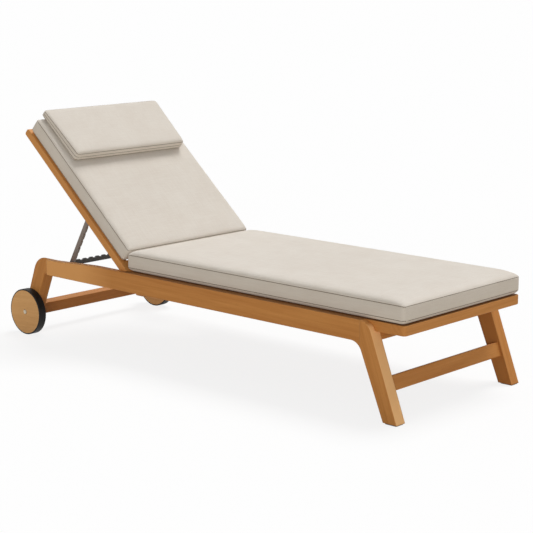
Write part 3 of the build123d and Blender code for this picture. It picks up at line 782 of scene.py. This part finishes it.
def stitch_row(name, pad, loop):
    """Short stitches laid end to end on a pad's surface, one at each point of a loop."""
    tree = surface_tree(pad)
    size = Matrix.Diagonal((STITCH_LENGTH, 2 * STITCH_RADIUS, 2 * STITCH_RADIUS, 1.0))
    bm = bmesh.new()
    for index, place in enumerate(loop):
        hit, normal, _, _ = tree.find_nearest(place)
        along = (loop[(index + 1) % len(loop)] - place).normalized()
        across = normal.cross(along)
        turn = Matrix((along, across, normal)).transposed().to_4x4()
        turn.translation = hit
        bmesh.ops.create_icosphere(bm, subdivisions=1, radius=0.5, matrix=turn @ size)
    mesh = bpy.data.meshes.new(name)
    bm.to_mesh(mesh)
    bm.free()
    for polygon in mesh.polygons:
        polygon.use_smooth = True
    return new_object(name, mesh)


def finish_cloth(piece, material, body, matrix):
    """Place a cloth piece, give it its material and let it ride on its body."""
    if matrix is not None:
        piece.data.transform(matrix)
    piece.data.materials.clear()
    piece.data.materials.append(material)
    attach(piece, body)


def slim_down(mesh, low, high, thin_share, narrow_share):
    """Make a mesh thinner towards its high X end and its -Y side narrower towards its low X end."""
    for vertex in mesh.vertices:
        along = min(max((vertex.co.x - low[0]) / (high[0] - low[0]), 0), 1)
        vertex.co.z = low[2] + (vertex.co.z - low[2]) * (1 - along * (1 - thin_share))
        if vertex.co.y < 0:
            vertex.co.y *= 1 - (1 - along) * (1 - narrow_share)


def sewn_pad(
    name, low, high, corner, voxel, rise, sag, shoulders, body, material, matrix,
    welt_drop=None, thin_share=1, narrow_share=1,
):
    """Padded piece with its welts and stitches, placed and riding on its body."""
    pad = swollen_pad(name, low, high, corner, voxel, rise, sag, shoulders)
    sewn = []
    welts = {"upper": high[2] - SEAM_INSET, "lower": low[2] + SEAM_RISE}
    if welt_drop is not None:
        welts["middle"] = high[2] - welt_drop
    for label, height in welts.items():
        loop = rounded_loop(low, high, corner, height, WELT_STEP)
        sewn.append((seam_line(f"{name}_welt_{label}", pad, loop), seam_welt_shadow))
    stitches = {"upper": welts["upper"] - STITCH_DROP, "lower": welts["lower"] + STITCH_DROP}
    for label, height in stitches.items():
        loop = rounded_loop(low, high, corner, height, STITCH_STEP)
        sewn.append((stitch_row(f"{name}_stitches_{label}", pad, loop), sewing_thread))
    sewn.append((pad, material))
    for piece, piece_material in sewn:
        slim_down(piece.data, low, high, thin_share, narrow_share)
        finish_cloth(piece, piece_material, body, matrix)
    return pad


# Seat cushion
seat_pad = sewn_pad(
    "seat_pad",
    low=(-0.3190, -0.327, 0.3362),
    high=(0.9720, 0.327, 0.3900),
    corner=CUSHION_CORNER,
    voxel=CUSHION_VOXEL,
    rise=0.0225,
    sag=0.0097,
    shoulders=SEAT_SHOULDERS,
    body="frame",
    material=linen_flat,
    matrix=None,
)
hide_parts("seat_cushion")

# Back cushion and head pillow, drawn flat and turned onto the backrest
raise_back = back_matrix()
back_pad = sewn_pad(
    "back_pad",
    low=(0.056, -0.3235, 0.0200),
    high=(0.744, 0.3235, 0.0772),
    corner=CUSHION_CORNER,
    voxel=CUSHION_VOXEL,
    rise=0.009,
    sag=0.0055,
    shoulders=BACK_SHOULDERS,
    body="backrest",
    material=linen_raised,
    matrix=raise_back,
)
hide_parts("back_cushion")

pillow_pad = sewn_pad(
    "pillow_pad",
    low=(0.504, -0.2965, 0.0890),
    high=(0.756, 0.2965, 0.1245),
    corner=PILLOW_CORNER,
    voxel=PILLOW_VOXEL,
    rise=0.010,
    sag=0.002,
    shoulders=PILLOW_SHOULDERS,
    body="backrest",
    material=linen_raised,
    matrix=raise_back,
    welt_drop=0.016,
    thin_share=0.66,
    narrow_share=0.91,
)
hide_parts("head_pillow")

# Camera
camera_data = bpy.data.cameras.new("camera")
camera_data.lens = CAMERA_LENS
camera_data.sensor_width = CAMERA_SENSOR
camera_data.clip_end = CAMERA_REACH
camera = bpy.data.objects.new("camera", camera_data)
camera.location = CAMERA_PLACE
camera.rotation_euler = (radians(90 - CAMERA_DROP), 0, radians(CAMERA_TURN))
scene.collection.objects.link(camera)
scene.camera = camera

# Floor, world and lamps
FLOOR_SEEN = (0.93, 0.93, 0.93, 1.0)
FLOOR_LIT = (0.54, 0.485, 0.40, 1.0)
FLOOR_GLOW_SHARE = 0.84
FLOOR_REACH = 90
SKY_STRENGTH = 0.3
KEY_DIRECTION = (-0.05, 0.42, 0.9)
KEY_STRENGTH = 2.32
KEY_SPREAD = 30
FILL_DIRECTION = (0.68, -0.82, 0.17)
FILL_STRENGTH = 0.83
FILL_SPREAD = 20


def seen_share(tree):
    """One for rays that show the surroundings to the camera, straight or by reflection."""
    path = tree.nodes.new("ShaderNodeLightPath")
    seen = math_node(tree, "MAXIMUM", path.outputs["Is Camera Ray"], path.outputs["Is Glossy Ray"])
    return math_node(tree, "MAXIMUM", seen, path.outputs["Is Transmission Ray"])


def add_floor():
    """Wide white floor that keeps a faint shadow of the lounger."""
    bm = bmesh.new()
    bmesh.ops.create_grid(bm, x_segments=1, y_segments=1, size=FLOOR_REACH)
    mesh = bpy.data.meshes.new("floor")
    bm.to_mesh(mesh)
    bm.free()
    floor = new_object("floor", mesh)
    material = bpy.data.materials.new("white_floor")
    material.use_nodes = True
    tree = material.node_tree
    shader = tree.nodes["Principled BSDF"]
    shader.inputs["Roughness"].default_value = 0.9
    shader.inputs["Specular IOR Level"].default_value = 0.0
    seen = seen_share(tree)
    join(tree, mixed(tree, seen, FLOOR_LIT, FLOOR_SEEN), shader.inputs["Base Color"])
    glow = tree.nodes.new("ShaderNodeEmission")
    both = tree.nodes.new("ShaderNodeMixShader")
    join(tree, math_node(tree, "MULTIPLY", seen, FLOOR_GLOW_SHARE), both.inputs[0])
    join(tree, shader.outputs[0], both.inputs[1])
    join(tree, glow.outputs[0], both.inputs[2])
    join(tree, both.outputs[0], tree.nodes["Material Output"].inputs["Surface"])
    mesh.materials.append(material)


def add_world():
    """Even white surround, plain white to the camera and in reflections."""
    world = bpy.data.worlds.new("studio")
    scene.world = world
    world.use_nodes = True
    tree = world.node_tree
    surround = tree.nodes["Background"]
    surround.inputs["Color"].default_value = (1, 1, 1, 1)
    join(tree, ranged(tree, seen_share(tree), 0.0, 1.0, SKY_STRENGTH, 1.0), surround.inputs["Strength"])


def add_sun(name, direction, strength, spread):
    """Soft lamp that shines from a direction."""
    lamp = bpy.data.lights.new(name, "SUN")
    lamp.energy = strength
    lamp.angle = radians(spread)
    sun = bpy.data.objects.new(name, lamp)
    sun.rotation_euler = Vector(direction).to_track_quat("Z", "Y").to_euler()
    scene.collection.objects.link(sun)


add_floor()
add_world()
add_sun("key", KEY_DIRECTION, KEY_STRENGTH, KEY_SPREAD)
add_sun("fill", FILL_DIRECTION, FILL_STRENGTH, FILL_SPREAD)

scene.view_settings.view_transform = "Standard"
